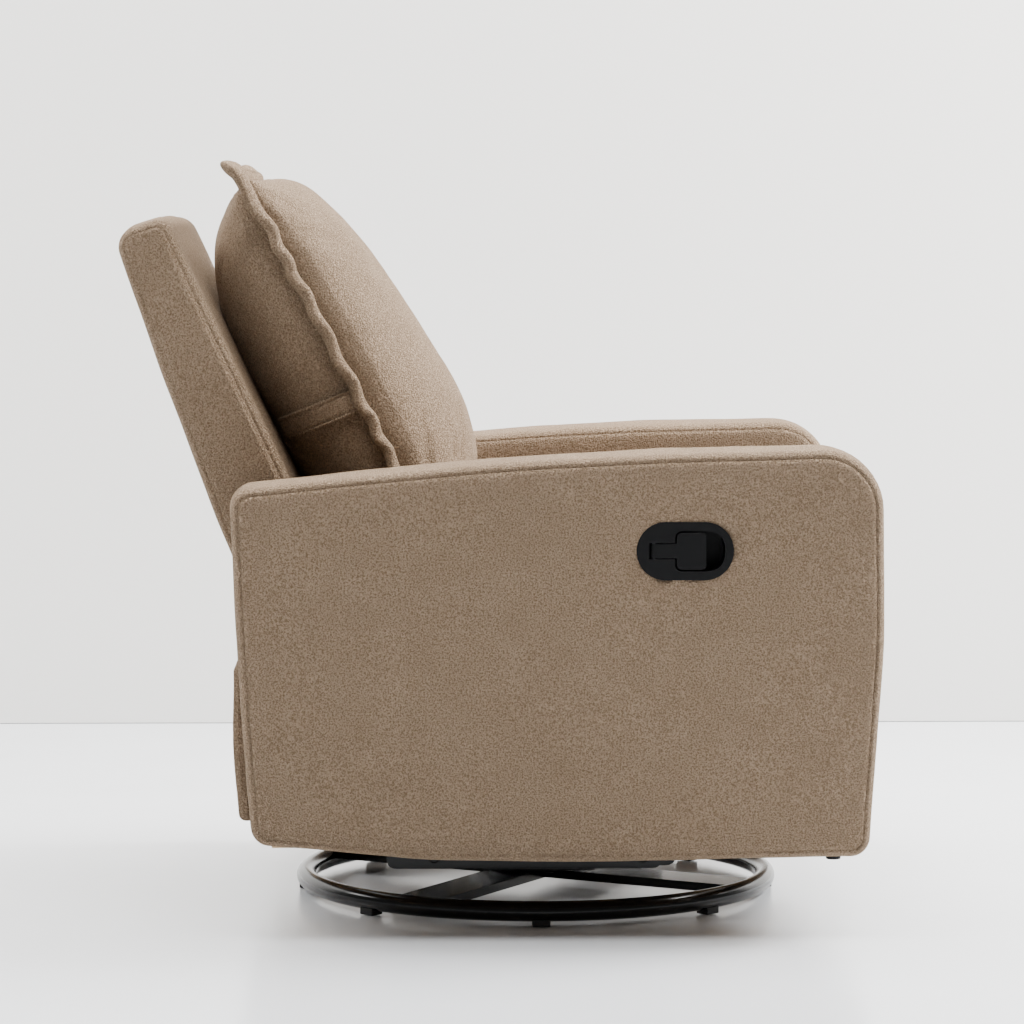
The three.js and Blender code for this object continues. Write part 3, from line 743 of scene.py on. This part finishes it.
def plump(obj, voxel, pressure, cap, pinned):
    """Lets a cover swell as cloth under pressure. Points that pinned picks stay, and none moves more
    than cap."""
    only(obj)
    even = obj.modifiers.new("even", "REMESH")
    even.mode = "VOXEL"
    even.voxel_size = voxel
    bpy.ops.object.modifier_apply(modifier="even")
    start = [vertex.co.copy() for vertex in obj.data.vertices]
    pins = obj.vertex_groups.new(name="pins")
    pins.add([i for i, co in enumerate(start) if pinned(co)], 1.0, "REPLACE")
    cloth = obj.modifiers.new("cloth", "CLOTH")
    cloth.settings.quality = 4
    cloth.settings.use_pressure = True
    cloth.settings.uniform_pressure_force = pressure
    cloth.settings.effector_weights.gravity = 0
    cloth.settings.vertex_group_mass = "pins"
    cloth.point_cache.frame_start = 1
    cloth.point_cache.frame_end = LAST_FRAME
    for step in range(1, LAST_FRAME + 1):
        bpy.context.scene.frame_set(step)
    bpy.ops.object.modifier_apply(modifier="cloth")
    for vertex, before in zip(obj.data.vertices, start):
        moved = vertex.co - before
        if moved.length > cap:
            vertex.co = before + moved * (cap / moved.length)
    bpy.context.scene.frame_set(1)
    obj.vertex_groups.clear()
    bpy.ops.object.shade_smooth()


pillow = shaped_ball("pillow_body_cover", len(pillow_edge), len(body_rings) - 1, body_place)
if SIMULATED:
    plump(
        pillow,
        voxel=0.0055,
        pressure=4.0,
        cap=0.024,
        pinned=lambda co: abs((co - PILLOW_FOOT).dot(PILLOW_OUT)) < 0.006,
    )
soften(pillow, size=0.10, height=0.003, seed=6.0)
subdivide(pillow)
cover(pillow, "back", "back_pillow")

# The flange: the doubled edges of both panels, top-stitched along the seam, with a ripple every 4 cm or so.
upper_section = ((-0.003, 0.0040), (0.001, 0.0034), (0.004, 0.0062))
upper_section += ((0.008, 0.0078), (0.012, 0.0072), (0.0160, 0.0048))
FLANGE_REACH = 0.018
FLANGE_SECTION = upper_section + ((FLANGE_REACH, 0.0),)
FLANGE_SECTION += tuple((out, -lift) for out, lift in reversed(upper_section)) + ((-0.005, 0.0),)
FLANGE_TIP = 6
RIPPLES = 36
RIPPLE_HEIGHT = 0.0048
EAR_REACH = 0.036
EAR_CURL = 0.016
bpy.ops.object.select_all(action="DESELECT")
bpy.ops.mesh.primitive_torus_add(
    major_segments=len(pillow_edge), minor_segments=len(FLANGE_SECTION), major_radius=1.0, minor_radius=0.2
)
flange = bpy.context.object
flange.name = "pillow_flange"
for vertex in flange.data.vertices:
    step = round(math.atan2(vertex.co.y, vertex.co.x) / (2 * math.pi) * len(pillow_edge)) % len(pillow_edge)
    turn = math.atan2(vertex.co.z, math.hypot(vertex.co.x, vertex.co.y) - 1.0)
    at_section = round(turn / (2 * math.pi) * len(FLANGE_SECTION)) + FLANGE_TIP
    out, lift = FLANGE_SECTION[at_section % len(FLANGE_SECTION)]
    centred = pillow_flat(pillow_edge[step])
    seam = centred + pillow_normals[step] * SEAM_INSET
    share = max(0.0, out) / FLANGE_REACH
    along = step / len(pillow_edge)
    ripple = math.sin(2 * math.pi * (along * RIPPLES + 0.7 * noise.noise(Vector((along * 16, 5.0, 0)))))
    ripple = RIPPLE_HEIGHT * ripple + 0.005 * noise.noise(Vector((along * 30, 2.0, 0)))
    corner = max(0.0, abs(centred.x) / PILLOW_HALF + centred.y / pillow_middle.y - 1.70) / 0.30
    flat = seam + (centred - seam).normalized() * out
    flat += flat.normalized() * EAR_REACH * corner * share
    vertex.co = pillow_spot(flat, lift * (1 + 0.1 * corner) + (ripple - EAR_CURL * corner) * share)
only(flange)
bpy.ops.object.mode_set(mode="EDIT")
bpy.ops.mesh.select_all(action="SELECT")
bpy.ops.mesh.normals_make_consistent(inside=False)
bpy.ops.object.mode_set(mode="OBJECT")
bpy.ops.object.shade_smooth()
subdivide(flange)
cover(flange, "back", "back_pillow")


# Pillow straps: a doubled band of the same fleece at either side, sewn to the flange and to the
# back. Each is a flat grid laid against the side of the pillow, stitched along both edges, then
# thickened.
STRAP_BESIDE = 0.300
STRAP_REAR = (0.168, 0.6365)
STRAP_FRONT = (0.262, 0.5965)
STRAP_WIDTH = 0.029
STRAP_ACROSS = Vector((0, -0.38, -0.92)).normalized()
STITCH_AT = 0.36
for side, sign in (("left", 1), ("right", -1)):
    bpy.ops.object.select_all(action="DESELECT")
    bpy.ops.mesh.primitive_grid_add(x_subdivisions=40, y_subdivisions=22, size=1, location=(0, 0, 0))
    strap = bpy.context.object
    strap.name = f"pillow_strap_band_{side}"
    strap_across = [vertex.co.y for vertex in strap.data.vertices]
    for vertex in strap.data.vertices:
        along = vertex.co.x + 0.5
        across = vertex.co.y
        start = Vector((sign * STRAP_BESIDE, *STRAP_REAR))
        end = Vector((sign * STRAP_BESIDE, *STRAP_FRONT))
        vertex.co = start.lerp(end, along) + STRAP_ACROSS * STRAP_WIDTH * across
    only(strap)
    lie = strap.modifiers.new("lie", "SHRINKWRAP")
    lie.target = pillow
    lie.wrap_method = "PROJECT"
    lie.use_project_x = True
    lie.use_negative_direction = True
    lie.use_positive_direction = True
    lie.offset = 0.0036
    bpy.ops.object.modifier_apply(modifier="lie")
    for vertex in strap.data.vertices:
        across = strap_across[vertex.index]
        vertex.co.x += sign * (0.0012 - 0.0030 * math.exp(-(((abs(across) - STITCH_AT) / 0.05) ** 2)))
    thick = strap.modifiers.new("thick", "SOLIDIFY")
    thick.thickness = 0.0060
    thick.offset = 0.0
    bpy.ops.object.modifier_apply(modifier="thick")
    only(strap)
    bpy.ops.object.shade_smooth()
    cover(strap, "back", f"pillow_strap_{side}")


# The footrest: steel cranks, arms and stays at either side, a tube between the cranks, and a padded
# board. The links are powder coated plate, and the board is plywood under thin foam and fleece.
for side in ("left", "right"):
    for piece in ("crank", "arm", "stay", "bracket"):
        show(f"footrest_{piece}_{side}", powder_coat, bevel=0.0008)
show("footrest_tube", powder_coat, bevel=0.001)
foot = padded_slab(
    "footrest_cover",
    [(-0.4570, 0.121, 0.009), (-0.437, 0.121, 0.0065), (-0.437, 0.300, 0.0065), (-0.4570, 0.300, 0.009)],
    -0.250,
    0.250,
    edge=0.006,
    seam=0.003,
    crown=0.001,
    band_steps=24,
    groove=0.0008,
    band_crown=0.001,
)
soften(foot, size=0.09, height=0.001, seed=9.0)
cover(foot, "footrest", "footrest_pad")
